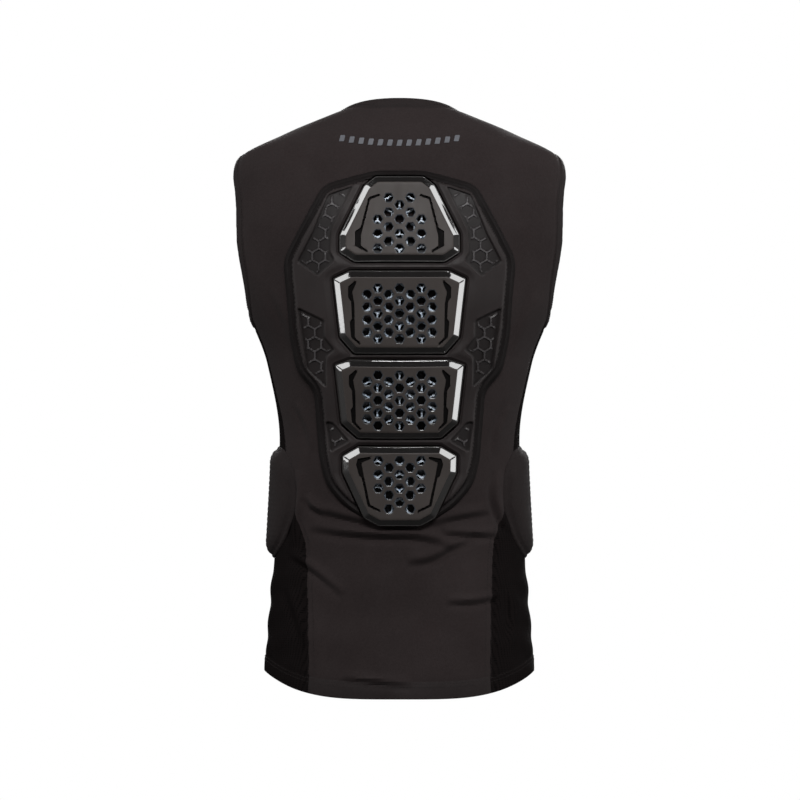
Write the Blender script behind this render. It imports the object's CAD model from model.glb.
import math

import bmesh
import bpy
import numpy as np
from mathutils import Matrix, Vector
from mathutils.bvhtree import BVHTree


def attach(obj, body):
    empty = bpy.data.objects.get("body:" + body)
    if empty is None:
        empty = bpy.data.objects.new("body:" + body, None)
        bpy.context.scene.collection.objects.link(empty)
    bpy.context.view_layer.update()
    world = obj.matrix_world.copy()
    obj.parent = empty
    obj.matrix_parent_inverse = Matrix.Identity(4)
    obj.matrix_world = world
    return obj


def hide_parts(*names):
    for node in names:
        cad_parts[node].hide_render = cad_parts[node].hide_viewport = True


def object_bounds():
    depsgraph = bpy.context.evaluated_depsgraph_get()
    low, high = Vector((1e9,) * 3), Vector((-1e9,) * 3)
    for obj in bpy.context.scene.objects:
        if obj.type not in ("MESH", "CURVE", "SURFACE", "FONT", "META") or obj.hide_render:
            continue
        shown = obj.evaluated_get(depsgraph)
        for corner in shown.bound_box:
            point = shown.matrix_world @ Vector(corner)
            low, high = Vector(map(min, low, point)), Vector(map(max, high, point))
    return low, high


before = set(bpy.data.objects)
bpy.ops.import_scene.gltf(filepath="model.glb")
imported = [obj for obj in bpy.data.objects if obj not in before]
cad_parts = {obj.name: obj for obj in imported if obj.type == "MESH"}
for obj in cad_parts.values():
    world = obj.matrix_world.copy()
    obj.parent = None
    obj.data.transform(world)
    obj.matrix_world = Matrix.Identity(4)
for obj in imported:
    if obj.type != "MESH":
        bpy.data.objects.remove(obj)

# Looks of the back protector. Points are worked out in the vest's own millimetres, with
# heights measured up from the hem's lowest point, and written in the row frame in metres.
LOOP_Y = -50.0
LOOP_Z = 668.0
ORIGIN = np.array([0.0, LOOP_Y, LOOP_Z])
CAD_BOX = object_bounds()

# ---- dimensions shared with the CAD (mm) ----
# Sections of the body: height at the back and at the front, half width, depth behind and
# in front of the shoulder line, and the power of the section's oval
SECTIONS = np.array([
    (-12, -12, 160, 108, 106.0, 2.3),
    (110, 107, 150, 92, 100.2, 2.3),
    (200, 196, 143, 82.5, 95.9, 2.3),
    (300, 294, 139, 90, 91.2, 2.3),
    (390, 380, 153, 104, 87.1, 2.45),
    (470, 452, 181, 111.5, 83.6, 2.55),
    (545, 520, 199, 108.5, 80.3, 2.6),
    (605, 572, 198, 95, 77.8, 2.55),
    (640, 597, 188, 85, 76.6, 2.45),
    (667, 611, 143, 71, 75.9, 2.2),
    (692, 626, 74, 55, 75.2, 2.2),
])
# Right-hand halves of symmetrical outlines, as (x, height) from the top down
CARRIER_HALF = [
    (29, 608), (88, 592), (118, 537), (134, 505), (130, 463), (127, 419), (118.5, 376),
    (98.6, 355), (96.6, 330), (92.7, 277), (85, 246), (64.6, 222), (38.3, 204), (12, 193),
]
PLATE_HALF = {
    1: [(27.5, 601), (41, 590.5), (69.2, 534), (69.2, 513.7), (52, 502.5)],
    2: [(57, 492.5), (76.7, 483), (69, 415.8), (52.4, 397.0)],
    3: [(57, 389.8), (74.8, 383.2), (67.2, 316.5), (48, 299.5)],
    4: [(47.2, 290.5), (66.3, 279.2), (65.8, 260), (41, 207.8), (24.3, 198.7)],
}
GROOVE_HALF = {
    1: [(23, 580), (35.5, 576), (44.5, 541), (51, 537), (51, 520), (37, 512.5),
        (37, 515), (44.5, 520), (44.5, 532), (34, 573.5), (23, 577.5)],
    2: [(51, 481), (59, 474), (59, 462), (55.5, 457), (54.5, 437), (57, 434),
        (55.5, 416), (45, 407), (45, 409.5), (51.5, 416), (52, 454), (54.5, 468),
        (49.5, 479)],
    3: [(50, 379), (58, 372), (58, 360), (54.5, 355), (53.5, 336), (56, 333),
        (54.5, 318), (44.5, 309), (44.5, 311.5), (50.5, 318), (51, 353), (53.5, 367),
        (48.5, 377)],
    4: [(33.5, 279), (48, 276.5), (50, 270), (46, 256), (43.5, 255), (36.5, 222),
        (21.5, 215), (21.5, 217.5), (34, 223.5), (41.5, 258), (44, 272), (33.5, 276.5)],
}


def wide_rows(foot):
    """Hole heights of a wide plate, by distance from its middle line."""
    long_row = [foot + rise for rise in (57, 42.5, 28, 13.5, -1)]
    short_row = [foot + rise for rise in (49.8, 35.3, 20.8, 6.3)]
    return {0: long_row, 12.4: short_row, 24.8: long_row, 37.2: short_row}


HOLES = {
    1: {0: [567.1, 550.6, 533.9, 517.1], 12.5: [575.4, 558.6, 541.8, 525.1], 25: [550.4, 533.8, 517.1]},
    2: wide_rows(415.5),
    3: wide_rows(316),
    4: {0: [274.5, 258.6, 242.7, 226.8], 12.2: [266.5, 250.7, 234.8, 219], 24.4: [274.5, 258.6, 242.7]},
}
# Where three core walls meet under the middle of each plate
CORE_JUNCTION = {1: 545.0, 2: 458.0, 3: 345.6, 4: 269.0}
WINDOW_HALF = {
    "upper": [(82.7, 579.7), (53.6, 590), (78.3, 539), (79.9, 514), (74.5, 504),
              (94.2, 486), (117.5, 502.6), (99.6, 537)],
    "middle": [(117, 450), (86.3, 435), (86.3, 416), (74.3, 401), (84.4, 393.6),
               (84.4, 358), (107, 379)],
    "lower": [(85, 319), (77, 318), (57.6, 296), (79.6, 284)],
}
WINDOW_CELL = {"upper": (92.8, 509.0), "middle": (97.5, 408.0), "lower": (74.0, 304.0)}
# Outlines on the flank, as (depth, height)
SIDE_PANEL = [(-88, -14), (-82, 30), (-70, 115), (-60, 180), (-36, 270), (-24, 350),
              (-24, 460), (42, 460), (48, 350), (58, 240), (66, 120), (74, 30), (78, -14)]
FLANK_PAD = [(-38, 286), (-51, 262), (-51, 215), (-38, 178), (-18, 161), (18, 161),
             (36, 186), (40, 240), (30, 278), (6, 292)]
SIDES = {"right": 1, "left": -1}
SEAM_Y = -4.0
SIDE_RISE = 30.0
HEM_HALF = 155.0
HEM_BAND = 20.0
BINDING = 11.0
ZIP_HALF = 14.0
PLATE_LEVEL = 11.0
RECESS_GAP = 1.7
ARMHOLE_CENTRE = np.array([2.0, 530.0])
ARMHOLE_RADII = np.array([52.0, 92.0])
COLLAR_CENTRE_Y = 10.1
COLLAR_RADII = np.array([85.0, 76.1])
COLLAR_WIDTH = 14.0
PANEL_SEAM_X = 109.0
# Folds in the fabric: a run of (x, height) points on the back, half width, height
FOLDS = [
    ([(-108, 222), (-80, 212), (-37, 202), (-5, 197)], 6.0, 4.0),
    ([(-104, 195), (-66, 189), (-22, 186), (20, 186), (46, 180), (62, 172)], 6.0, 5.2),
    ([(8, 156), (35, 158), (58, 172), (84, 184)], 6.0, 4.8),
    ([(48, 190), (83, 188), (114, 187)], 5.5, 4.4),
    ([(36, 200), (70, 209), (106, 214)], 6.0, 4.0),
    ([(-128, 164), (-106, 151), (-91, 140), (-66, 118)], 5.5, 3.8),
    ([(54, 110), (87, 110), (116, 117)], 5.0, 3.6),
    ([(-68, 23), (-28, 19), (16, 15)], 4.5, 2.6),
    ([(-110, 232), (-98, 216), (-84, 208)], 5.0, 2.8),
    ([(112, 262), (106, 236), (112, 212), (124, 190)], 5.0, 3.4),
    ([(-122, 262), (-118, 236), (-124, 204), (-128, 176)], 5.0, 3.4),
    ([(-132, 128), (-122, 96), (-112, 60)], 6.0, 2.4),
    ([(122, 128), (130, 98), (124, 60)], 6.0, 2.4),
    ([(-122, 340), (-110, 316), (-104, 286)], 5.0, 2.0),
    ([(124, 340), (112, 312), (106, 284)], 5.0, 2.0),
    ([(-150, 470), (-132, 430), (-122, 396)], 7.0, 1.8),
    ([(152, 468), (136, 430), (124, 398)], 7.0, 1.8),
]


# ---- flat helpers ----
def distance(flat, outline):
    """Signed distance from flat points to a closed outline, negative inside."""
    start = np.asarray(outline, float)
    end = np.roll(start, -1, 0)
    edge = end - start
    offset = flat[:, None, :] - start[None]
    share = np.clip((offset * edge).sum(2) / (edge ** 2).sum(1), 0, 1)
    gap = offset - share[..., None] * edge
    length = np.sqrt((gap ** 2).sum(2).min(1))
    spans = (start[:, 1] <= flat[:, 1:2]) != (end[:, 1] <= flat[:, 1:2])
    rise = np.where(np.abs(edge[:, 1]) < 1e-9, 1e-9, edge[:, 1])
    crossed = start[:, 0] + (flat[:, 1:2] - start[:, 1]) / rise * edge[:, 0]
    inside = ((flat[:, 0:1] < crossed) & spans).sum(1) % 2 == 1
    return np.where(inside, -length, length)


def beside(flat, line):
    """How far along an open line flat points are (0 to 1), and how far above or below it."""
    line = np.asarray(line, float)
    size = np.linalg.norm(np.diff(line, axis=0), axis=1)
    before = np.concatenate([[0], np.cumsum(size)])
    best = np.full(len(flat), np.inf)
    share, off = np.zeros(len(flat)), np.full(len(flat), 99.0)
    for index, (start, end) in enumerate(zip(line, line[1:])):
        way = (end - start) / size[index]
        along = (flat - start) @ way
        held = np.clip(along, 0, size[index])
        gap = np.linalg.norm(flat - start - held[:, None] * way, axis=1)
        side = (flat - start) @ np.array([-way[1], way[0]])
        near = gap < best
        best = np.where(near, gap, best)
        share = np.where(near, (before[index] + held) / before[-1], share)
        off = np.where(near, np.where(side < 0, -gap, gap), off)
    return share, off


def smooth_line(line):
    """An open line with its corners cut twice."""
    line = np.asarray(line, float)
    for _ in range(2):
        cut = np.stack([0.75 * line[:-1] + 0.25 * line[1:], 0.25 * line[:-1] + 0.75 * line[1:]], 1)
        line = np.concatenate([line[:1], cut.reshape(-1, 2), line[-1:]])
    return line


def rounded(outline, radius, steps=4):
    """An outline with its corners eased over a radius."""
    points = np.asarray(outline, float)
    made = []
    for index, corner in enumerate(points):
        before = points[index - 1] - corner
        after = points[(index + 1) % len(points)] - corner
        reach = min(radius, 0.45 * np.linalg.norm(before), 0.45 * np.linalg.norm(after))
        first = corner + before / np.linalg.norm(before) * reach
        last = corner + after / np.linalg.norm(after) * reach
        for step in range(steps + 1):
            t = step / steps
            made.append((1 - t) ** 2 * first + 2 * t * (1 - t) * corner + t ** 2 * last)
    return np.array(made)


def mirrored(half):
    """A right-half outline completed with its left half."""
    return list(half) + [(-x, z) for x, z in reversed(half)]


def lattice(low, high, spacing):
    """A flat grid of near-equilateral triangles over a rectangle."""
    rows = int((high[1] - low[1]) / (spacing * 0.866)) + 2
    columns = int((high[0] - low[0]) / spacing) + 3
    row, column = np.mgrid[0:rows, 0:columns]
    x = low[0] + (column - 0.5 * (row % 2)) * spacing
    y = low[1] + row * spacing * 0.866
    points = np.stack([x.ravel(), y.ravel()], 1)
    base = (row * columns + column)[:-1, :-1]
    faces = []
    for first, steps in ((0, (0, 1, columns + 1)), (0, (0, columns + 1, columns)),
                         (1, (0, 1, columns)), (1, (1, columns + 1, columns))):
        faces.append(base[first::2].reshape(-1, 1) + np.array(steps))
    return points, np.concatenate(faces)


def snapped(points, field, snap):
    """A mesh's points with those near a field's zero line moved onto it, and their values."""
    points = points.copy()
    values = field(points)
    near = np.abs(values) < snap
    if near.any():
        slope = []
        for axis in np.eye(points.shape[1]) * 0.05:
            slope.append((field(points[near] + axis) - field(points[near] - axis)) / 0.1)
        slope = np.stack(slope, 1)
        size = np.maximum((slope ** 2).sum(1), 0.2)
        points[near] -= slope * (values[near] / size)[:, None]
        values[near] = 0
    return points, values


def split(points, faces, field, snap=0.3):
    """Cuts a triangle mesh along the line where a field is zero."""
    points, values = snapped(points, field, snap)
    side = np.sign(values)[faces]
    mixed = (side.max(1) > 0) & (side.min(1) < 0)
    if not mixed.any():
        return points, faces
    sign = side[mixed]
    zero = (sign == 0).any(1)
    odd_one = np.where(sign.sum(1) > 0, sign.argmin(1), sign.argmax(1))
    lone = np.where(zero, (sign == 0).argmax(1), odd_one)
    cut = np.take_along_axis(faces[mixed], (lone[:, None] + np.arange(3)) % 3, 1)
    pairs = np.concatenate([cut[zero][:, [1, 2]], cut[~zero][:, [0, 1]], cut[~zero][:, [0, 2]]])
    unique, where = np.unique(np.sort(pairs, 1), axis=0, return_inverse=True)
    start, end = unique.T
    share = values[start] / (values[start] - values[end])
    fresh = points[start] + (points[end] - points[start]) * share[:, None]
    mid, first, second = np.split(where.ravel() + len(points), [zero.sum(), len(cut)])
    a, b, c = cut[zero].T
    made = [faces[~mixed], np.stack([a, b, mid], 1), np.stack([a, mid, c], 1)]
    a, b, c = cut[~zero].T
    made += [np.stack([a, first, second], 1), np.stack([first, b, c], 1),
             np.stack([first, c, second], 1)]
    return np.concatenate([points, fresh]), np.concatenate(made)


def cut_all(points, faces, cuts, snap=0.3):
    """Cuts a triangle mesh along each field's levels."""
    for field, levels in cuts:
        for level in levels:
            points, faces = split(points, faces, lambda p: field(p) - level, snap)
    return points, faces


def keep(points, faces, mask):
    """The faces that a mask picks, with only their own points."""
    used, index = np.unique(faces[mask], return_inverse=True)
    return points[used], index.reshape(-1, 3)


def middle(points, faces):
    """The middle of each face."""
    return points[faces].mean(1)


def rims(faces):
    """The edges used by one face only, in the face's own direction."""
    edges = np.concatenate([faces[:, [0, 1]], faces[:, [1, 2]], faces[:, [2, 0]]])
    key = np.sort(edges, 1)
    _, index, count = np.unique(key, axis=0, return_inverse=True, return_counts=True)
    return edges[count[index.ravel()] == 1]


def ease(values, low, high):
    """A smooth step from 0 at low to 1 at high."""
    share = np.clip((values - low) / (high - low), 0, 1)
    return share * share * (3 - 2 * share)


# ---- the body form ----
def column(heights, index):
    """A section value as a smooth curve of the height at the back, without overshoot."""
    known = SECTIONS[:, 0]
    value = SECTIONS[:, index]
    step = np.diff(known)
    rise = np.diff(value) / step
    slope = np.zeros(len(known))
    same = rise[1:] * rise[:-1] > 0
    total = np.where(same, rise[1:] + rise[:-1], 1)
    slope[1:-1] = np.where(same, 2 * rise[1:] * rise[:-1] / total, 0)
    slope[0], slope[-1] = rise[0], rise[-1]
    cell = np.clip(np.searchsorted(known, heights, side="right") - 1, 0, len(known) - 2)
    t = (heights - known[cell]) / step[cell]
    wide = step[cell]
    return (value[cell] * (1 + 2 * t) * (1 - t) ** 2 + slope[cell] * wide * t * (1 - t) ** 2
            + value[cell + 1] * t * t * (3 - 2 * t) + slope[cell + 1] * wide * t * t * (t - 1))


def body_grid():
    """Points of the body form on a grid of heights and directions, closest over the back."""
    heights = np.concatenate([np.linspace(-12, 84, 28)[:-1], np.linspace(84, 250, 78)[:-1],
                              np.linspace(250, 692, 128)])[:, None]
    front_turns = np.linspace(0, math.pi, 150, endpoint=False)
    back_turns = np.linspace(math.pi, 2 * math.pi, 260, endpoint=False)
    angle = np.concatenate([front_turns, back_turns])[None]
    front_z, half, back, front, power = [column(heights, index) for index in range(1, 6)]
    depth = np.where(np.sin(angle) >= 0, front, back)
    x = half * np.sign(np.cos(angle)) * np.abs(np.cos(angle)) ** (2 / power)
    y = depth * np.sign(np.sin(angle)) * np.abs(np.sin(angle)) ** (2 / power)
    z = heights + (front_z - heights) * (y + back) / (back + front)
    return np.stack([x, y, z], 2)


def grid_normals(grid):
    """Outward normals of the body grid."""
    along = np.gradient(grid, axis=0)
    around = np.roll(grid, -1, 1) - np.roll(grid, 1, 1)
    normal = np.cross(around, along)
    return normal / np.linalg.norm(normal, axis=2, keepdims=True)


def grid_faces(rows, columns, closed=False):
    """Triangles over a grid of points, whose rows may close on themselves."""
    row, place = np.mgrid[0:rows - 1, 0:columns if closed else columns - 1]
    a = (row * columns + place).ravel()
    b = (row * columns + (place + 1) % columns).ravel()
    c, d = a + columns, b + columns
    return np.concatenate([np.stack([a, b, d], 1), np.stack([a, d, c], 1)])


GRID = body_grid()
BASE = GRID.reshape(-1, 3)
BASE_NORMALS = grid_normals(GRID).reshape(-1, 3)
BASE_FACES = grid_faces(*GRID.shape[:2], closed=True)
BASE_TREE = BVHTree.FromPolygons(BASE.tolist(), BASE_FACES.tolist())


def on_back(flat, level):
    """Points at a level above the fabric of the back, at flat (x, height) places."""
    level = np.broadcast_to(level, len(flat))
    placed = np.empty((len(flat), 3))
    for index, (x, z) in enumerate(flat):
        hit, normal, _, _ = BASE_TREE.ray_cast((x, -400, z), (0, 1, 0))
        lean = max(0.5, abs(normal.y))
        placed[index] = (x, hit.y - level[index] / lean, z)
    return placed


def on_flank(flat, level, sign):
    """Points at a level above the fabric of one flank, at flat (depth, height) places."""
    placed = np.empty((len(flat), 3))
    for index, (y, z) in enumerate(flat):
        hit, normal, _, _ = BASE_TREE.ray_cast((sign * 400, y, z), (-sign, 0, 0))
        placed[index] = np.array(hit) + np.array(normal) * level[index]
    return placed


# ---- materials ----
class Graph:
    """The nodes of a material or a world, added and linked in one call each."""

    def __init__(self, owner, place="Object"):
        owner.use_nodes = True
        self.owner = owner
        self.tree = owner.node_tree
        self.place = self.add("ShaderNodeTexCoord").outputs[place]

    def add(self, kind, inputs=None, **settings):
        node = self.tree.nodes.new(kind)
        for key, value in settings.items():
            setattr(node, key, value)
        for key, value in (inputs or {}).items():
            if isinstance(value, bpy.types.NodeSocket):
                self.tree.links.new(value, node.inputs[key])
            else:
                node.inputs[key].default_value = value
        return node

    def noise(self, scale, detail=3.0, place=None):
        return self.add("ShaderNodeTexNoise", {"Vector": place or self.place, "Scale": scale,
                                               "Detail": detail}).outputs["Fac"]

    def cells(self, scale, place=None):
        return self.add("ShaderNodeTexVoronoi", {"Vector": place or self.place,
                                                 "Scale": scale}).outputs["Distance"]

    def wave(self, scale, direction, place=None):
        node = self.add("ShaderNodeTexWave", {"Vector": place or self.place, "Scale": scale},
                        bands_direction=direction)
        return node.outputs["Fac"]

    def stretched(self, scale):
        return self.add("ShaderNodeMapping", {"Vector": self.place, "Scale": scale}).outputs[0]

    def maths(self, operation, first, second):
        return self.add("ShaderNodeMath", {0: first, 1: second}, operation=operation).outputs[0]

    def span(self, value, low, high, to_low, to_high):
        return self.add("ShaderNodeMapRange", {"Value": value, "From Min": low, "From Max": high,
                                               "To Min": to_low, "To Max": to_high}).outputs[0]

    def colours(self, share, first, second):
        node = self.add("ShaderNodeMix", data_type="RGBA")
        self.tree.links.new(share, node.inputs[0])
        node.inputs[6].default_value = (*first, 1)
        node.inputs[7].default_value = (*second, 1)
        return node.outputs[2]

    def finish(self, colour, roughness, bump=None, strength=0.3, depth=0.0005, **fixed):
        shader = self.tree.nodes["Principled BSDF"]
        self.tree.links.new(colour, shader.inputs["Base Color"])
        self.tree.links.new(roughness, shader.inputs["Roughness"])
        if bump is not None:
            node = self.add("ShaderNodeBump", {"Height": bump, "Strength": strength,
                                               "Distance": depth})
            self.tree.links.new(node.outputs[0], shader.inputs["Normal"])
        for key, value in fixed.items():
            shader.inputs[key.replace("_", " ")].default_value = value
        return self.owner


def knit(name, dark, light, rough=0.85, sheen=0.03):
    """Close knitted stretch fabric: fine courses and wales with uneven dye."""
    graph = Graph(bpy.data.materials.new(name))
    tint = graph.maths("ADD", graph.maths("MULTIPLY", graph.noise(9), 0.6),
                       graph.maths("MULTIPLY", graph.noise(420, 2), 0.4))
    colour = graph.colours(graph.span(tint, 0.3, 0.7, 0, 1), dark, light)
    courses = graph.wave(270, "Z")
    wales = graph.cells(900, graph.stretched((1, 1, 0.55)))
    height = graph.maths("ADD", graph.maths("MULTIPLY", courses, 0.45), wales)
    roughness = graph.span(graph.noise(30), 0.3, 0.7, rough - 0.07, rough + 0.07)
    return graph.finish(colour, roughness, height, 0.35, 0.0004, Sheen_Weight=sheen,
                        Sheen_Roughness=0.5, Specular_IOR_Level=0.12)


def open_mesh(name, dark, light):
    """Warp-knitted side mesh with rows of small openings."""
    graph = Graph(bpy.data.materials.new(name))
    rows = graph.wave(125, "Z")
    columns = graph.wave(125, "Y")
    holes = graph.maths("MULTIPLY", rows, columns)
    open_share = graph.span(holes, 0.45, 0.75, 0, 1)
    colour = graph.colours(open_share, light, dark)
    height = graph.maths("SUBTRACT", 1.0, open_share)
    roughness = graph.span(graph.noise(60), 0.3, 0.7, 0.78, 0.9)
    return graph.finish(colour, roughness, height, 0.8, 0.0006, Sheen_Weight=0.0,
                        Specular_IOR_Level=0.05)


def moulded(name, dark, light, low, high, grain=0.25, size=1500, **fixed):
    """Moulded rubbery foam or plastic with a fine grain, scuffs and slight wear."""
    graph = Graph(bpy.data.materials.new(name))
    colour = graph.colours(graph.span(graph.noise(14), 0.3, 0.7, 0, 1), dark, light)
    scuffs = graph.noise(160, 4, graph.stretched((1, 1, 0.2)))
    roughness = graph.span(graph.maths("ADD", scuffs, graph.noise(35)), 0.7, 1.3, low, high)
    return graph.finish(colour, roughness, graph.noise(size, 2), grain, 0.0002, **fixed)


def webbing(name, dark, light):
    """Narrow woven tape with a herringbone of fine yarns."""
    graph = Graph(bpy.data.materials.new(name))
    ribs = graph.maths("ADD", graph.wave(420, "Z"), graph.wave(420, "X"))
    colour = graph.colours(graph.span(ribs, 0.4, 1.6, 0, 1), dark, light)
    roughness = graph.span(graph.noise(80), 0.3, 0.7, 0.65, 0.8)
    return graph.finish(colour, roughness, ribs, 0.5, 0.0003, Specular_IOR_Level=0.3)


BLACK_KNIT = knit("black_knit", (0.017, 0.0125, 0.0125), (0.026, 0.0195, 0.0195))
BAND_KNIT = knit("band_knit", (0.013, 0.0095, 0.0095), (0.02, 0.0155, 0.0155), 0.72)
SIDE_MESH = open_mesh("side_mesh_knit", (0.001, 0.0008, 0.0008), (0.006, 0.0044, 0.0044))
CARRIER_FOAM = moulded("carrier_foam", (0.0165, 0.0128, 0.0128), (0.025, 0.02, 0.02), 0.5, 0.66,
                       0.35, Specular_IOR_Level=0.22)
CARRIER_STEP = moulded("carrier_step", (0.0062, 0.0048, 0.0048), (0.0095, 0.0075, 0.0075), 0.6, 0.75,
                       0.35, Specular_IOR_Level=0.12)
WINDOW_MESH = moulded("window_rubber", (0.009, 0.007, 0.007), (0.015, 0.012, 0.012), 0.5, 0.65, 0.3,
                      Specular_IOR_Level=0.25)
WINDOW_RIB = moulded("window_rib", (0.035, 0.031, 0.032), (0.055, 0.05, 0.052), 0.4, 0.55)
CORE_DARK = moulded("core_floor", (0.008, 0.009, 0.012), (0.014, 0.016, 0.021), 0.5, 0.7)
CORE_TOP = moulded("core_walls", (0.52, 0.62, 0.74), (0.7, 0.78, 0.88), 0.3, 0.45, 0.15)
PLATE_SATIN = moulded("plate_satin", (0.036, 0.03, 0.0275), (0.048, 0.0405, 0.0375), 0.46, 0.58, 0.2,
                      Specular_IOR_Level=0.25)
PLATE_GLOSS = moulded("plate_gloss", (0.006, 0.005, 0.005), (0.01, 0.009, 0.009), 0.1, 0.18, 0.04,
                      Coat_Weight=1.0, Coat_Roughness=0.06, Coat_IOR=2.6, Specular_IOR_Level=0.5)
PLATE_RIM = moulded("plate_rim", (0.012, 0.011, 0.0105), (0.02, 0.018, 0.017), 0.45, 0.55, 0.08,
                    Specular_IOR_Level=0.35)
GROOVE_DARK = moulded("plate_groove", (0.002, 0.0018, 0.0018), (0.0035, 0.003, 0.003), 0.6, 0.75, 0.1,
                      Specular_IOR_Level=0.08)
THREAD = moulded("thread", (0.011, 0.0088, 0.0088), (0.018, 0.0145, 0.0145), 0.65, 0.8, 0.5, 4000,
                 Specular_IOR_Level=0.15)
PAD_COVER = knit("pad_cover", (0.012, 0.009, 0.009), (0.02, 0.0155, 0.0155), 0.8, 0.03)
REFLECTIVE = moulded("reflective_print", (0.07, 0.073, 0.084), (0.11, 0.114, 0.13), 0.6, 0.75, 0.4, 5200)
TAPE_WEAVE = webbing("tape_weave", (0.008, 0.007, 0.007), (0.02, 0.017, 0.017))
HOLE_EDGE = moulded("hole_edge", (0.03, 0.034, 0.04), (0.05, 0.056, 0.066), 0.2, 0.32, 0.05)
NYLON = moulded("zip_nylon", (0.012, 0.011, 0.011), (0.022, 0.02, 0.02), 0.3, 0.42, 0.1)
ZIP_METAL = moulded("zip_metal", (0.1, 0.1, 0.105), (0.16, 0.16, 0.165), 0.24, 0.4, 0.12, 900,
                    Metallic=1.0)


# ---- making pieces ----
def piece(name, points, faces, materials, slots=None, body="vest", replaces=(), finish=None,
          sharp=38.0, closed=False):
    """A shown piece from points in the vest's millimetres."""
    mesh = bpy.data.meshes.new(name)
    placed = (np.asarray(points) - ORIGIN) / 1000
    mesh.from_pydata(placed.tolist(), [], [list(face) for face in faces])
    for material in materials:
        mesh.materials.append(material)
    if slots is not None:
        mesh.polygons.foreach_set("material_index", np.asarray(slots, np.int32))
    shape = bmesh.new()
    shape.from_mesh(mesh)
    bmesh.ops.remove_doubles(shape, verts=shape.verts, dist=0.00004)
    if closed:
        bmesh.ops.recalc_face_normals(shape, faces=shape.faces)
    shape.to_mesh(mesh)
    shape.free()
    mesh.shade_smooth()
    mesh.set_sharp_from_angle(angle=math.radians(sharp))
    made = bpy.data.objects.new(name, mesh)
    bpy.context.scene.collection.objects.link(made)
    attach(made, body)
    if replaces:
        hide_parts(*replaces)
    return made


def thicken(points, normals, faces, thickness):
    """A closed sheet: the outer points, an inner copy, and the strip round its edges."""
    inner = points - normals * thickness
    return np.concatenate([points, inner]), shell_faces(faces, len(points))


def shell_faces(faces, count):
    """Faces of a closed shell whose inner copy follows its outer points."""
    edges = rims(faces)
    made = faces.tolist()
    made += (faces[:, ::-1] + count).tolist()
    made += np.stack([edges[:, 1], edges[:, 0], edges[:, 0] + count, edges[:, 1] + count], 1).tolist()
    return made


def relief(points, faces, place, level, floor, classes=None):
    """A closed relief: its top at one level and its underside at another."""
    top = place(points, level)
    bottom = place(points, floor)
    slots = None
    if classes is not None:
        side = np.zeros(len(rims(faces)), int)
        slots = np.concatenate([classes, np.zeros(len(faces), int), side])
    return np.concatenate([top, bottom]), shell_faces(faces, len(points)), slots


def joined(shapes):
    """Many shapes, each of points and faces, as one."""
    faces = []
    count = 0
    for points, shell in shapes:
        faces += [tuple(corner + count for corner in face) for face in shell]
        count += len(points)
    return np.concatenate([points for points, _ in shapes]), faces


def ring_faces(rings, sides):
    """Faces round a run of rings of points, with both ends closed."""
    faces = []
    for ring in range(rings - 1):
        for side in range(sides):
            after = (side + 1) % sides
            faces.append((ring * sides + side, ring * sides + after,
                          (ring + 1) * sides + after, (ring + 1) * sides + side))
    faces.append(tuple(range(sides - 1, -1, -1)))
    faces.append(tuple(range((rings - 1) * sides, rings * sides)))
    return faces


def stitches(path, normals):
    """A row of short thread stitches along a line on the fabric."""
    pitch = 3.4
    length = 2.3
    radius = 0.3
    lift = 0.15
    step = np.linalg.norm(np.diff(path, axis=0), axis=1)
    run = np.concatenate([[0], np.cumsum(step)])
    places = np.arange(pitch / 2, run[-1], pitch)

    def sampled(values, shift=0.0):
        return np.stack([np.interp(places + shift, run, values[:, axis]) for axis in range(3)], 1)

    centre = sampled(path)
    out = sampled(normals)
    along = sampled(path, 0.5) - sampled(path, -0.5)
    along /= np.maximum(np.linalg.norm(along, axis=1, keepdims=True), 1e-9)
    out -= along * (out * along).sum(1, keepdims=True)
    out /= np.maximum(np.linalg.norm(out, axis=1, keepdims=True), 1e-9)
    across = np.cross(along, out)
    sides = 5
    rings = [(-0.5, 0.35), (-0.3, 1.0), (0.3, 1.0), (0.5, 0.35)]
    points = []
    for share, wide in rings:
        for side in range(sides):
            turn = 2 * math.pi * side / sides
            points.append(centre + along * (share * length)
                          + out * (lift + radius * wide * math.sin(turn) - (1 - wide) * radius)
                          + across * (radius * wide * math.cos(turn)))
    unit = ring_faces(len(rings), sides)
    return joined([(stitch, unit) for stitch in np.stack(points, 1)])


def contour(points, faces, values):
    """Ordered lines on a triangle mesh where the values change sign."""
    inside = values[faces] < 0
    mixed = inside.any(1) & ~inside.all(1)
    links = {}
    crossing = {}
    for face, flags in zip(faces[mixed].tolist(), inside[mixed].tolist()):
        ends = []
        for a, b in ((0, 1), (1, 2), (2, 0)):
            if flags[a] != flags[b]:
                key = (min(face[a], face[b]), max(face[a], face[b]))
                share = values[key[0]] / (values[key[0]] - values[key[1]])
                crossing[key] = points[key[0]] * (1 - share) + points[key[1]] * share
                ends.append(key)
        links.setdefault(ends[0], []).append(ends[1])
        links.setdefault(ends[1], []).append(ends[0])
    lines = []
    left = set(links)
    starts = [key for key in links if len(links[key]) == 1] + list(links)
    for start in starts:
        if start not in left:
            continue
        line = [start]
        left.discard(start)
        while True:
            ahead = [key for key in links[line[-1]] if key in left]
            if not ahead:
                break
            line.append(ahead[0])
            left.discard(ahead[0])
        if start in links[line[-1]] and len(line) > 3:
            line.append(start)
        if len(line) > 6:
            lines.append(np.array([crossing[key] for key in line]))
    return lines


# ---- garment ----
def hem_height(x):
    return SIDE_RISE * np.minimum(2.2, (np.abs(x) / HEM_HALF) ** 4)


def hem_field(lift):
    return lambda p: hem_height(p[:, 0]) + lift - p[:, 2]


def oval_gap(flat, radii):
    """Rough distance from an upright oval at the origin, negative inside."""
    share = flat / radii
    radius = np.sqrt((share ** 2).sum(1)) + 1e-6
    slope = np.sqrt(((share / radii) ** 2).sum(1)) / radius
    return (radius - 1) / slope


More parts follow.
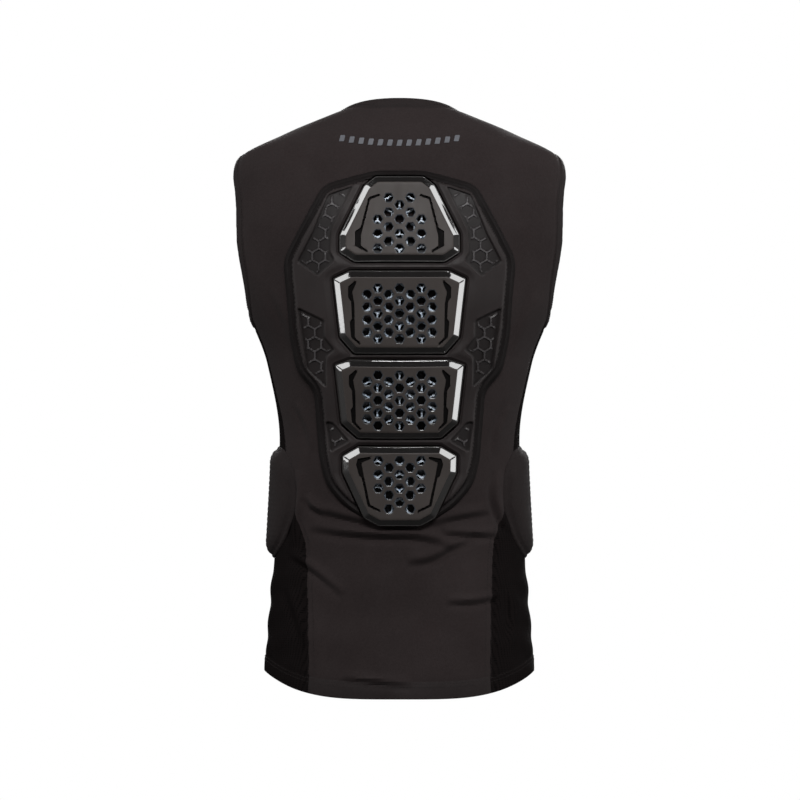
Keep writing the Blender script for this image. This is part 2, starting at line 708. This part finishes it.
def oval_distance(points):
    return oval_gap(points[:, 1:3] - ARMHOLE_CENTRE, ARMHOLE_RADII)


def oval_field(lift):
    return lambda p: oval_distance(p) - lift


def side_field(points):
    return distance(points[:, 1:3], SIDE_PANEL)


def collar_field(points):
    """Negative on the collar: above its falling plane and inside its oval."""
    back_z, front_z, _, back_y, front_y, _ = SECTIONS[-1]
    slope = (back_z - front_z) / (back_y + front_y)
    under = back_z - COLLAR_WIDTH - slope * (points[:, 1] + back_y) - points[:, 2]
    outside = oval_gap(points[:, :2] - np.array([0, COLLAR_CENTRE_Y]), COLLAR_RADII)
    return np.maximum(under, outside)


def zip_field(points):
    """Negative in the gap that the zip fills."""
    return np.where(points[:, 1] > 0, np.abs(points[:, 0]) - ZIP_HALF, 50.0)


def shoulder_field(points):
    return SEAM_Y - points[:, 1]


def panel_line(points):
    """Distance from the seams down the lower back, outside the centre panel."""
    seam = np.abs(np.abs(points[:, 0]) - PANEL_SEAM_X)
    return np.where((points[:, 1] < -30) & (points[:, 2] < 190), seam, 50.0)


def wrinkles(points):
    """How far the fabric stands out of its smooth form: folds, drag lines and slack."""
    x, y, z = points.T
    rise = np.zeros(len(points))
    back = y < 0
    flat = points[:, [0, 2]]
    for run, wide, height in FOLDS:
        share, off = beside(flat, smooth_line(run))
        fade = np.sin(np.pi * np.clip(share, 0, 1)) ** 0.6
        crest = np.exp(-((off - 0.8 * wide) / wide) ** 2)
        trough = 0.9 * np.exp(-((off + 0.5 * wide) / (0.75 * wide)) ** 2)
        rise += np.where(back, height * fade * (crest - trough), 0)
    slack = np.sin(x * 0.05 + z * 0.021) * np.sin(z * 0.043 + x * 0.018 + y * 0.03)
    rise += 0.5 * slack * ease(-z, -330, -60)
    rise += 0.35 * np.sin(z * 0.11 + 0.6 * np.sin(x * 0.06)) * ease(-z, -230, -150) * ease(z, 20, 60)
    side = ease(np.abs(x), 110, 145)
    rise += 0.9 * side * np.sin(z * 0.16 + y * 0.05) * ease(-z, -170, -120) * ease(z, 20, 60)
    rise -= 0.9 * np.exp(-(side_field(points) / 2.2) ** 2)
    rise -= 0.8 * np.exp(-(panel_line(points) / 2.0) ** 2)
    rise -= 0.6 * np.exp(-(shoulder_field(points) / 2.0) ** 2)
    ring = oval_distance(points)
    rise += 1.2 * np.sqrt(np.clip(1 - ((ring - 5.5) / 5.5) ** 2, 0, 1))
    rise -= 0.5 * np.exp(-((ring - 12) / 1.2) ** 2)
    band = z - hem_height(x)
    rise += 0.8 * np.sqrt(np.clip(1 - ((band - 9) / 9.5) ** 2, 0, 1))
    rise -= 0.4 * np.exp(-((band - HEM_BAND) / 1.4) ** 2)
    rim = -collar_field(points)
    rise += 0.9 * ease(rim, 0, 3.0) - 0.6 * np.exp(-(rim / 1.3) ** 2)
    return rise


def garment():
    """The vest's panels, bands and bindings, cut from one wrinkled form."""
    points, faces = BASE, BASE_FACES
    for field in (hem_field(0), hem_field(HEM_BAND), collar_field, oval_field(0),
                  oval_field(BINDING), side_field, zip_field, shoulder_field):
        points, faces = split(points, faces, field)
    normals = smooth_normals(points)
    centre = middle(points, faces)
    oval = oval_distance(centre)
    live = (hem_field(0)(centre) < 0) & (zip_field(centre) > 0) & (oval > 0)
    collar = live & (collar_field(centre) < 0)
    hem = live & (hem_field(HEM_BAND)(centre) > 0) & ~collar
    ring = live & (oval < BINDING) & ~collar & ~hem
    side = live & (side_field(centre) < 0) & ~ring & ~hem & ~collar
    cloth = live & ~collar & ~hem & ~ring & ~side
    back = centre[:, 1] < SEAM_Y
    right = centre[:, 0] > 0
    rise = wrinkles(points)
    outer = points + normals * rise[:, None]
    masks = {"back_panel": (cloth & back, BLACK_KNIT, "body_fabric", 2.2),
             "collar_band": (collar, BAND_KNIT, "binding", 2.4),
             "hem_back": (hem & back, BAND_KNIT, "binding", 2.6)}
    for name, half in (("right", right), ("left", ~right)):
        masks["front_panel_" + name] = (cloth & ~back & half, BLACK_KNIT, "body_fabric", 2.2)
        masks["side_mesh_" + name] = (side & half, SIDE_MESH, "side_mesh", 1.9)
        masks["armhole_binding_" + name] = (ring & half, BAND_KNIT, "binding", 2.6)
        masks["hem_front_" + name] = (hem & ~back & half, BAND_KNIT, "binding", 2.6)
    for name, (mask, material, slot, thick) in masks.items():
        used, index = np.unique(faces[mask], return_inverse=True)
        cut = index.reshape(-1, 3)
        shape, shell = thicken(outer[used], normals[used], cut, thick)
        meshed = (side_field(centre[mask]) < 0) & name.startswith("hem")
        slots = np.concatenate([meshed, meshed, np.zeros(len(rims(cut)), int)])
        made = piece("cloth_" + name, shape, shell, [material, SIDE_MESH], slots, replaces=[name],
                     finish=slot)
    return outer, faces, points


def smooth_normals(points):
    """The body form's normals at points on it, blended from its grid."""
    made = np.empty((len(points), 3))
    for index, point in enumerate(points):
        _, _, face, _ = BASE_TREE.find_nearest(point)
        corners = BASE_FACES[face]
        gap = np.linalg.norm(BASE[corners] - point, axis=1) + 1e-3
        blend = (BASE_NORMALS[corners] / gap[:, None]).sum(0)
        made[index] = blend / np.linalg.norm(blend)
    return made


def seam_stitches(outer, faces, flat_points):
    """Rows of thread along the bands, the bindings and the panel seams."""
    tree = BVHTree.FromPolygons(outer.tolist(), faces.tolist())
    beside_seam = 3.0
    rows = [(hem_field(17.5), anywhere), (hem_field(13.5), anywhere), (oval_field(9.5), anywhere),
            (oval_field(3.0), anywhere), (lambda p: collar_field(p) + beside_seam, anywhere),
            (lambda p: side_field(p) - beside_seam, above_hem),
            (lambda p: shoulder_field(p) - beside_seam, on_shoulder),
            (lambda p: np.abs(p[:, 0]) - (PANEL_SEAM_X - beside_seam), on_lower_back)]
    runs = []
    for field, limit in rows:
        for line in contour(flat_points, faces, field(flat_points)):
            clear = (hem_height(line[:, 0]) < line[:, 2] - 3) & (zip_field(line) > 2)
            clear &= (oval_distance(line) > 1.0) & limit(line)
            for run in pieces_of(line, clear):
                found = [tree.find_nearest(point) for point in run]
                runs.append(stitches(np.array([hit for hit, _, _, _ in found]),
                                     np.array([normal for _, normal, _, _ in found])))
    points, shapes = joined(runs)
    piece("stitching", points, shapes, [THREAD], sharp=60)


def anywhere(line):
    return np.ones(len(line), bool)


def above_hem(line):
    return (oval_distance(line) > BINDING + 2) & (line[:, 2] > hem_height(line[:, 0]) + HEM_BAND + 1)


def on_shoulder(line):
    return (line[:, 2] > 600) & (oval_distance(line) > BINDING + 1) & (collar_field(line) > 1)


def on_lower_back(line):
    return (line[:, 1] < -30) & (line[:, 2] < 186) & (line[:, 2] > HEM_BAND + 2)


def pieces_of(line, clear):
    """The unbroken stretches of a line where a mask holds."""
    turns = np.flatnonzero(clear[1:] != clear[:-1]) + 1
    runs = [run for run, held in zip(np.split(line, turns), np.split(clear, turns)) if held[0]]
    return [run for run in runs if len(run) > 5]


# ---- back armour ----
def fabric_depth(x, height):
    """How far the back stands out at a place, between straight-sided sections."""
    half, depth, power = [np.interp(height, SECTIONS[:, 0], SECTIONS[:, index]) for index in (2, 3, 5)]
    return depth * (1 - (abs(x) / half) ** power) ** (1 / power)


class PlateFrame:
    """A plate's own frame: x to the right, y up along the back, z out of the back."""

    def __init__(self, index):
        half = np.array(PLATE_HALF[index], float)
        low, high = half[:, 1].min() + 4, half[:, 1].max() - 4
        deep_low, deep_high = fabric_depth(0, low), fabric_depth(0, high)
        tilt = math.atan2(deep_low - deep_high, high - low)
        self.out = np.array([0, -math.cos(tilt), math.sin(tilt)])
        self.up = np.array([0, math.sin(tilt), math.cos(tilt)])
        foot = np.array([0, -(deep_low + deep_high) / 2, (low + high) / 2])
        self.origin = foot + self.out * PLATE_LEVEL - self.up * PLATE_LEVEL * math.tan(tilt)
        height, wide = half[:, 1].mean(), half[:, 0].max()
        self.radius = wide ** 2 / (2 * (fabric_depth(0, height) - fabric_depth(wide, height)))

    def flat(self, outline):
        """An (x, height) outline in this frame."""
        outline = np.asarray(outline, float)
        return np.stack([outline[:, 0], (outline[:, 1] - self.origin[2]) / self.up[2]], 1)

    def place(self, flat, level):
        """Flat points of this frame at a level above the fabric, curved round the back."""
        sag = self.radius - np.sqrt(self.radius ** 2 - flat[:, 0] ** 2)
        height = np.broadcast_to(level, len(flat)) - PLATE_LEVEL - sag
        right = np.array([1.0, 0, 0])
        return self.origin + flat[:, :1] * right + flat[:, 1:] * self.up + height[:, None] * self.out


def cell_edge(flat, centre, across):
    """Distance to the nearest wall line of a pointy-topped honeycomb."""
    tall = across * 2 * 0.866
    gaps = []
    for shift in ((0, 0), (across / 2, across * 0.866)):
        x, y = (flat - centre - shift).T
        x = np.abs(x - across * np.round(x / across))
        y = np.abs(y - tall * np.round(y / tall))
        gaps.append(across / 2 - np.maximum(x, 0.5 * x + 0.866 * y))
    return np.maximum(*gaps)


def window_outline(row, sign):
    return rounded([(sign * x, z) for x, z in WINDOW_HALF[row]], 3.0)


def carrier():
    """The moulded carrier: a stepped double edge, plate recesses and window openings."""
    outline = rounded(mirrored(CARRIER_HALF), 12)
    recesses = [rounded(mirrored(PLATE_HALF[index]), 2.4) for index in PLATE_HALF]
    windows = [window_outline(row, sign) for row in WINDOW_HALF for sign in SIDES.values()]

    def edge(flat):
        return -distance(flat, outline)

    def recess(flat):
        return np.min([distance(flat, shape) for shape in recesses], 0) - RECESS_GAP

    def window(flat):
        return np.min([distance(flat, shape) for shape in windows], 0)

    rim_steps = (0, 1.6, 4.2, 6.2, 7.6, 10.2, 12.0)
    lip_steps = (0, 1.1, 2.4, 3.8, 9.0)
    frame_steps = (0, 1.2, 2.6)
    points, faces = cut_all(*lattice((-137, 190), (137, 611), 2.9),
                            [(edge, rim_steps), (recess, lip_steps), (window, frame_steps)])
    centre = middle(points, faces)
    inside = (edge(centre) > 0) & (recess(centre) > 0) & (window(centre) > 0)
    points, faces = keep(points, faces, inside)
    rim = np.interp(edge(points), rim_steps, [0.6, 5.2, 7.4, 6.6, 6.4, 11.2, 12])
    lip = np.interp(recess(points), lip_steps, [-3.6, -3.0, -1.5, -1.4, 0])
    frame_lip = np.interp(window(points), frame_steps, [-1.0, 0.0, 0.0])
    level = np.maximum(0.5, rim + np.where(edge(points) > 8, lip + frame_lip, 0))
    classes = (edge(middle(points, faces)) < 9.0).astype(int)
    shape, shell, slots = relief(points, faces, on_back, level, 0.2, classes)
    piece("carrier", shape, shell, [CARRIER_FOAM, CARRIER_STEP], slots,
          replaces=["back_carrier"], finish="carrier_foam", sharp=28, closed=True)


def window_inserts():
    """Recessed honeycomb windows moulded into the carrier."""
    for row, (cell_x, cell_z) in WINDOW_CELL.items():
        for name, sign in SIDES.items():
            outline = window_outline(row, sign)
            centre = np.array([sign * cell_x, cell_z])

            def edge(flat):
                return distance(flat, outline) - 0.3

            def wall(flat):
                return cell_edge(flat, centre, 15.0)

            points, faces = cut_all(*lattice(outline.min(0) - 3, outline.max(0) + 3, 2.0),
                                    [(edge, (0, -1.6, -3.4)), (wall, (0.8, 1.5))], 0.2)
            points, faces = keep(points, faces, edge(middle(points, faces)) < 0)
            rib = 1 - ease(wall(points), 0.8, 1.5)
            open_share = ease(-edge(points), 2.5, 7.0)
            level = 8.6 + 1.5 * rib * open_share + 1.2 * (1 - ease(-edge(points), 0, 1.6))
            cells = middle(points, faces)
            classes = ((wall(cells) < 1.0) & (edge(cells) < -4.0)).astype(int)
            shape, shell, slots = relief(points, faces, on_back, level, 7.0, classes)
            piece("window_%s_%s_relief" % (row, name), shape, shell, [WINDOW_MESH, WINDOW_RIB], slots,
                  replaces=["window_%s_%s" % (row, name)], finish="window_mesh", sharp=30, closed=True)


def core(index):
    """The honeycomb core under a plate, seen through its holes."""
    cell = 17.0
    inset = 10.8
    made = PlateFrame(index)
    outline = made.flat(mirrored(PLATE_HALF[index]))
    junction = made.flat([(0, CORE_JUNCTION[index])])[0]
    centre = junction + np.array([cell / 2, -4.9])

    def edge(flat):
        return distance(flat, outline) + inset

    def wall(flat):
        return cell_edge(flat, centre, cell)

    points, faces = cut_all(*lattice(outline.min(0), outline.max(0), 2.6),
                            [(edge, (0,)), (wall, (0.9, 1.5))], 0.2)
    points, faces = keep(points, faces, edge(middle(points, faces)) < 0)
    rib = 1 - ease(wall(points), 0.9, 1.5)
    classes = (wall(middle(points, faces)) < 1.2).astype(int)
    shape, shell, slots = relief(points, faces, made.place, 2.5 + 8.2 * rib, 0.8, classes)
    piece("core_%d" % index, shape, shell, [CORE_DARK, CORE_TOP], slots,
          replaces=["honeycomb_core_%d" % index], finish="honeycomb", sharp=30, closed=True)


def hole_field(index, made):
    """Distance from a plate's nearest hexagonal hole, negative inside it."""
    centres = []
    for place, heights in HOLES[index].items():
        for x in sorted({place, -place}):
            centres += [(x, z) for z in heights]
    centres = made.flat(centres)

    def field(flat):
        local = np.abs(flat[:, None, :] - centres[None])
        reach = np.maximum(local[..., 1], 0.5 * local[..., 1] + 0.866 * local[..., 0])
        return reach.min(1) - 4.7

    return field


def plate(index):
    """A hard plate: satin face, glossy bevel, bright rim, C grooves and open hexagons."""
    made = PlateFrame(index)
    outline = rounded(made.flat(mirrored(PLATE_HALF[index])), 1.6, 3)
    groove_right = made.flat(GROOVE_HALF[index])
    groove_left = groove_right * np.array([-1, 1])
    hole = hole_field(index, made)

    def edge(flat):
        return -distance(flat, outline)

    def groove(flat):
        return np.minimum(distance(flat, groove_right), distance(flat, groove_left))

    rim_steps = (0, 0.5, 1.1, 1.5, 7.3, 8.2)
    hole_steps = (0, 0.35, 1.0)
    points, faces = cut_all(*lattice(outline.min(0) - 3, outline.max(0) + 3, 2.6),
                            [(edge, rim_steps), (groove, (0.2, -0.45)), (hole, hole_steps)], 0.16)
    centre = middle(points, faces)
    points, faces = keep(points, faces, (edge(centre) > 0) & (hole(centre) > 0))
    centre = middle(points, faces)
    rim = edge(points)
    level = np.interp(rim, rim_steps, [11.3, 11.9, 11.85, 12.0, 16.6, 17.0])
    level -= 2.4 * (1 - ease(groove(points), -0.45, 0.2))
    level -= np.interp(hole(points), hole_steps, [0.75, 0.3, 0])
    floor = np.interp(rim, [0, 7.4, 9.5], [10.5, 10.5, 13.8])
    classes = np.zeros(len(faces), int)
    classes[(edge(centre) < 7.3) & (edge(centre) > 1.3)] = 1
    classes[edge(centre) <= 1.3] = 2
    classes[groove(centre) < 0.2] = 4
    classes[hole(centre) < 0.9] = 3
    shape, shell, slots = relief(points, faces, made.place, level, floor, classes)
    looks = [PLATE_SATIN, PLATE_GLOSS, PLATE_RIM, HOLE_EDGE, GROOVE_DARK]
    piece("plate_%d_shell" % index, shape, shell, looks, slots, body="plate_%d" % index,
          replaces=["hard_plate_%d" % index], finish="plate_plastic", sharp=24, closed=True)


def marks():
    """A shallow arc of small plain reflective bars across the yoke."""
    reach = 66
    tall = 3.6
    bars = []
    for x in np.linspace(-reach, reach, 13):
        z = 640 + 5.5 * (x / reach) ** 2
        corners = [(x - 3.6, z - tall), (x + 2.0, z - tall), (x + 3.6, z + tall), (x - 2.0, z + tall)]
        outline = rounded(corners, 0.8, 2)
        flat, cut = lattice(outline.min(0) - 1, outline.max(0) + 1, 1.2)
        flat, cut = split(flat, cut, lambda p: distance(p, outline), 0.1)
        flat, cut = keep(flat, cut, distance(middle(flat, cut), outline) < 0)
        bars.append(relief(flat, cut, on_back, 0.55, -0.3)[:2])
    points, faces = joined(bars)
    piece("reflective_bars", points, faces, [REFLECTIVE], replaces=["reflective_marks"],
          finish="reflective", closed=True)


# ---- flank pads ----
def flank_pads():
    """Crowned foam pads in a cover with raised diamonds along their outer edge."""
    outline = rounded(FLANK_PAD, 14)
    for name, sign in SIDES.items():

        def edge(flat):
            return -distance(flat, outline)

        points, faces = cut_all(*lattice(outline.min(0) - 4, outline.max(0) + 4, 2.2),
                                [(edge, (0, 2.5, 6.0))])
        points, faces = keep(points, faces, edge(middle(points, faces)) > 0)
        depth = edge(points)
        crown = 10.2 * (1 - (1 - np.clip(depth / 20, 0, 1)) ** 2.3)
        y, z = points.T
        cells = np.cos(y * 0.9 + z * 0.52) * np.cos(y * 0.9 - z * 0.52)
        lumps = 0.7 * np.clip(cells, -0.2, 0.6) * ease(depth, 3, 7) * ease(y, -40, -24)
        stitched = 1.6 * np.exp(-((depth - 3.5) / 1.2) ** 2)
        level = 0.5 + crown + lumps - stitched
        top = on_flank(points, level, sign)
        bottom = on_flank(points, np.full(len(points), -0.3), sign)
        shell = shell_faces(faces if sign > 0 else faces[:, ::-1], len(points))
        made = piece("flank_pad_%s_cover" % name, np.concatenate([top, bottom]), shell, [PAD_COVER],
                     replaces=["flank_pad_" + name, "flank_pad_cover_" + name], finish="pad_cover",
                     sharp=50, closed=True)


# ---- front zip ----
FRONT_SLOPE = (106.0 - 75.2) / 638
ZIP_TOP_Z = 622.0
ZIP_LENGTH = 619.0 / math.cos(math.atan(FRONT_SLOPE))
CHAIN_LEVEL = -1.2


def on_zip(local):
    """Points of the zip's own frame: x right, y down the zip, z out of the chest."""
    slope = math.atan(FRONT_SLOPE)
    out = np.array([0, math.cos(slope), math.sin(slope)])
    down = np.array([0, math.sin(slope), -math.cos(slope)])
    top = np.array([0, 106.0 - FRONT_SLOPE * (ZIP_TOP_Z + 12), ZIP_TOP_Z])
    local = np.asarray(local, float)
    return top + local[:, :1] * np.array([1.0, 0, 0]) + local[:, 1:2] * down + local[:, 2:] * out


def tube(name, path, radius, sides, material, **options):
    """A round tube along a path in the vest's millimetres."""
    path = np.asarray(path)
    along = np.gradient(path, axis=0)
    along /= np.linalg.norm(along, axis=1, keepdims=True)
    first = np.cross(along, np.array([0.13, 0.35, 0.93]))
    first /= np.linalg.norm(first, axis=1, keepdims=True)
    second = np.cross(along, first)
    rings = []
    for side in range(sides):
        turn = 2 * math.pi * side / sides
        rings.append(path + radius * (first * math.cos(turn) + second * math.sin(turn)))
    points = np.stack(rings, 1).reshape(-1, 3)
    return piece(name, points, ring_faces(len(path), sides), [material], **options)


def coil(name, sign):
    """One side of the zip's chain, a nylon filament wound into teeth."""
    pitch = 1.6
    first = 5.0
    turn = ((3.0, 0, -0.75), (1.2, 0.12, -0.85), (0.2, 0.3, -0.25),
            (0.2, 0.4, 0.3), (1.2, 0.55, 0.85), (3.0, 0.75, 0.75))
    start = first + (0 if sign > 0 else pitch / 2)
    path = []
    for tooth in range(int((ZIP_LENGTH - 12 - first) / pitch)):
        for x, down, out in turn:
            path.append((sign * x, start + tooth * pitch + down, CHAIN_LEVEL + out))
    tube("coil_" + name, on_zip(path), 0.3, 5, NYLON, replaces=["zip_coil_" + name],
         finish="zip_plastic", sharp=70)


def zip_strip(name, local, columns, thickness, material, flat, **options):
    """A strip of cloth along the zip, from the grid of its outer points."""
    under = local - np.array([0, 0, thickness])
    shell = shell_faces(grid_faces(len(local) // columns, columns), len(local))
    made = piece(name, np.concatenate([on_zip(local), on_zip(under)]), shell, [material],
                 closed=True, **options)


def tape(name, sign):
    """A woven tape with a cord edge beside its coil."""
    across = np.array([2.9, 3.2, 4.6, 5.0, 5.4, 8.0, 11.0, 13.4, 13.9])
    rise = np.array([0.0, 0.15, 0.3, 0.1, 0.25, 0.2, 0.2, 0.35, 0.0])
    y, x = np.meshgrid(np.linspace(0, ZIP_LENGTH, 240), across, indexing="ij")
    level = CHAIN_LEVEL + rise + 0.06 * np.sin(y * 0.35)
    local = np.stack([sign * x, y, level], 2).reshape(-1, 3)
    zip_strip("tape_" + name, local, len(across), 0.7, TAPE_WEAVE, (0.011, 0.620),
              replaces=["zip_tape_" + name], finish="zip_tape")


def flap():
    """The cloth flap behind the zip, with a little slack along it."""
    across = np.array([-13.2, -12.0, -8, -4, 0, 4, 8, 12.0, 13.2])
    y, x = np.meshgrid(np.linspace(3, ZIP_LENGTH - 1, 160), across, indexing="ij")
    level = -5.4 + 0.25 * np.sin(y * 0.045) * (1 - (x / 14) ** 2) - 0.1 * np.abs(x) / 13
    local = np.stack([x, y, level], 2).reshape(-1, 3)
    zip_strip("flap", local, len(across), 1.1, BAND_KNIT, (0.026, 0.616),
              replaces=["zip_flap"], finish="body_fabric")


def zip_parts():
    """Coils, woven tapes and flap, and the metal parts as the CAD makes them."""
    for name, sign in SIDES.items():
        coil(name, sign)
        tape(name, sign)
    flap()
    for node in ("zip_top_stops", "zip_box", "zip_pin", "zip_slider", "zip_pull"):
        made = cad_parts[node]
        made.data.materials.clear()
        made.data.materials.append(ZIP_METAL)


def hanger():
    """The woven hanger loop inside the back of the neck, where the back leans forwards."""
    steps = np.linspace(-1, 1, 61)
    across = np.linspace(-5, 5, 9)
    right = np.array([1.0, 0, 0])
    inward = np.array([0, 1, -1]) / math.sqrt(2)
    upward = np.array([0, 1, 1]) / math.sqrt(2)
    reach = 7.0 * ease(1 - np.abs(steps), 0.2, 0.58) - 6.9
    x, wide = np.meshgrid(34.5 * steps, across, indexing="ij")
    crown = reach[:, None] + 0.25 * (1 - (wide / 5) ** 2)
    local = x[..., None] * right + crown[..., None] * inward + wide[..., None] * upward
    outer = (ORIGIN + local).reshape(-1, 3)
    shell = shell_faces(grid_faces(len(steps), len(across)), len(outer))
    made = piece("loop_webbing", np.concatenate([outer, outer + 1.2 * inward]), shell, [TAPE_WEAVE],
                 replaces=["hanger_loop"], finish="webbing", closed=True)


# ---- studio (metres) ----
CAMERA_AWAY = 12.0
VIEW_WIDTH = 0.92
FLOOR_DROP = 1.1


def area_light(name, place, aim, size, power):
    lamp = bpy.data.lights.new(name, "AREA")
    lamp.shape = "RECTANGLE"
    lamp.size, lamp.size_y = size
    lamp.energy = power
    made = bpy.data.objects.new(name, lamp)
    bpy.context.scene.collection.objects.link(made)
    made.location = place
    made.rotation_mode = "QUATERNION"
    made.rotation_quaternion = (Vector(aim) - Vector(place)).to_track_quat("-Z", "Y")
    return made


def camera():
    """A long lens level with the vest's middle, straight behind the back."""
    lens = bpy.data.cameras.new("camera")
    lens.sensor_width = 36
    lens.lens = 36 * CAMERA_AWAY / VIEW_WIDTH
    lens.clip_end = 100
    made = bpy.data.objects.new("camera", lens)
    bpy.context.scene.collection.objects.link(made)
    made.location = (0.0005, -CAMERA_AWAY - 0.045, (343.9 - LOOP_Z) / 1000)
    made.rotation_euler = (math.pi / 2, 0, 0)
    bpy.context.scene.camera = made


def lights():
    """Tall softboxes at both sides, a soft key above the camera and a fill for the front."""
    for name, side, low in (("left", -1, -0.56), ("right", 1, -0.92)):
        place = (side * 1.9, -0.2, low / 2)
        area_light(name + "_low_soft", place, (0, -0.2, low / 2), (1.3, -low), -low * 1.3 * 8)
        area_light(name + "_high_soft", (side * 1.9, -0.6, 1.6), (0, -0.6, 1.6), (2.2, 1.8), 32)
    area_light("front_fill", (0.3, 3.2, 1.1), (0, 0.05, -0.35), (2.6, 1.8), 120)
    area_light("key_soft", (0.25, -2.8, 1.4), (0, -0.05, -0.35), (1.7, 0.7), 80)


def surroundings():
    """White behind the object, and a dim light on it that fades away from the horizon."""
    world = bpy.data.worlds.new("studio")
    bpy.context.scene.world = world
    graph = Graph(world, "Generated")
    seen = graph.tree.nodes["Background"]
    seen.inputs[0].default_value = (1, 1, 1, 1)
    upward = graph.add("ShaderNodeSeparateXYZ", {0: graph.place}).outputs[2]
    strength = graph.span(graph.maths("ABSOLUTE", upward, 0), 0.1, 0.75, 0.13, 0.03)
    lit = graph.add("ShaderNodeBackground", {0: (1, 0.985, 0.97, 1), 1: strength})
    ray = graph.add("ShaderNodeLightPath").outputs["Is Camera Ray"]
    mix = graph.add("ShaderNodeMixShader", {0: ray, 1: lit.outputs[0], 2: seen.outputs[0]})
    graph.tree.links.new(mix.outputs[0], graph.tree.nodes["World Output"].inputs["Surface"])


def floor():
    """A plain pale floor just under the hem."""
    shape = bmesh.new()
    bmesh.ops.create_circle(shape, cap_ends=True, segments=64, radius=14)
    mesh = bpy.data.meshes.new("floor")
    shape.to_mesh(mesh)
    shape.free()
    graph = Graph(bpy.data.materials.new("pale_floor"))
    colour = graph.colours(graph.noise(0.4), (0.93, 0.93, 0.93), (0.97, 0.97, 0.97))
    roughness = graph.span(graph.noise(2), 0, 1, 0.85, 0.95)
    mesh.materials.append(graph.finish(colour, roughness, Emission_Color=(1, 1, 1, 1),
                                       Emission_Strength=0.62))
    made = bpy.data.objects.new("floor", mesh)
    bpy.context.scene.collection.objects.link(made)
    made.location = (0, 0, CAD_BOX[0].z - FLOOR_DROP)
    made.visible_glossy = False
    made.visible_diffuse = False


# ---- the scene ----
outer_points, outer_faces, flat_points = garment()
seam_stitches(outer_points, outer_faces, flat_points)
carrier()
window_inserts()
for number in PLATE_HALF:
    core(number)
    plate(number)
marks()
flank_pads()
zip_parts()
hanger()
bpy.context.scene.view_settings.view_transform = "Standard"
camera()
lights()
surroundings()
floor()
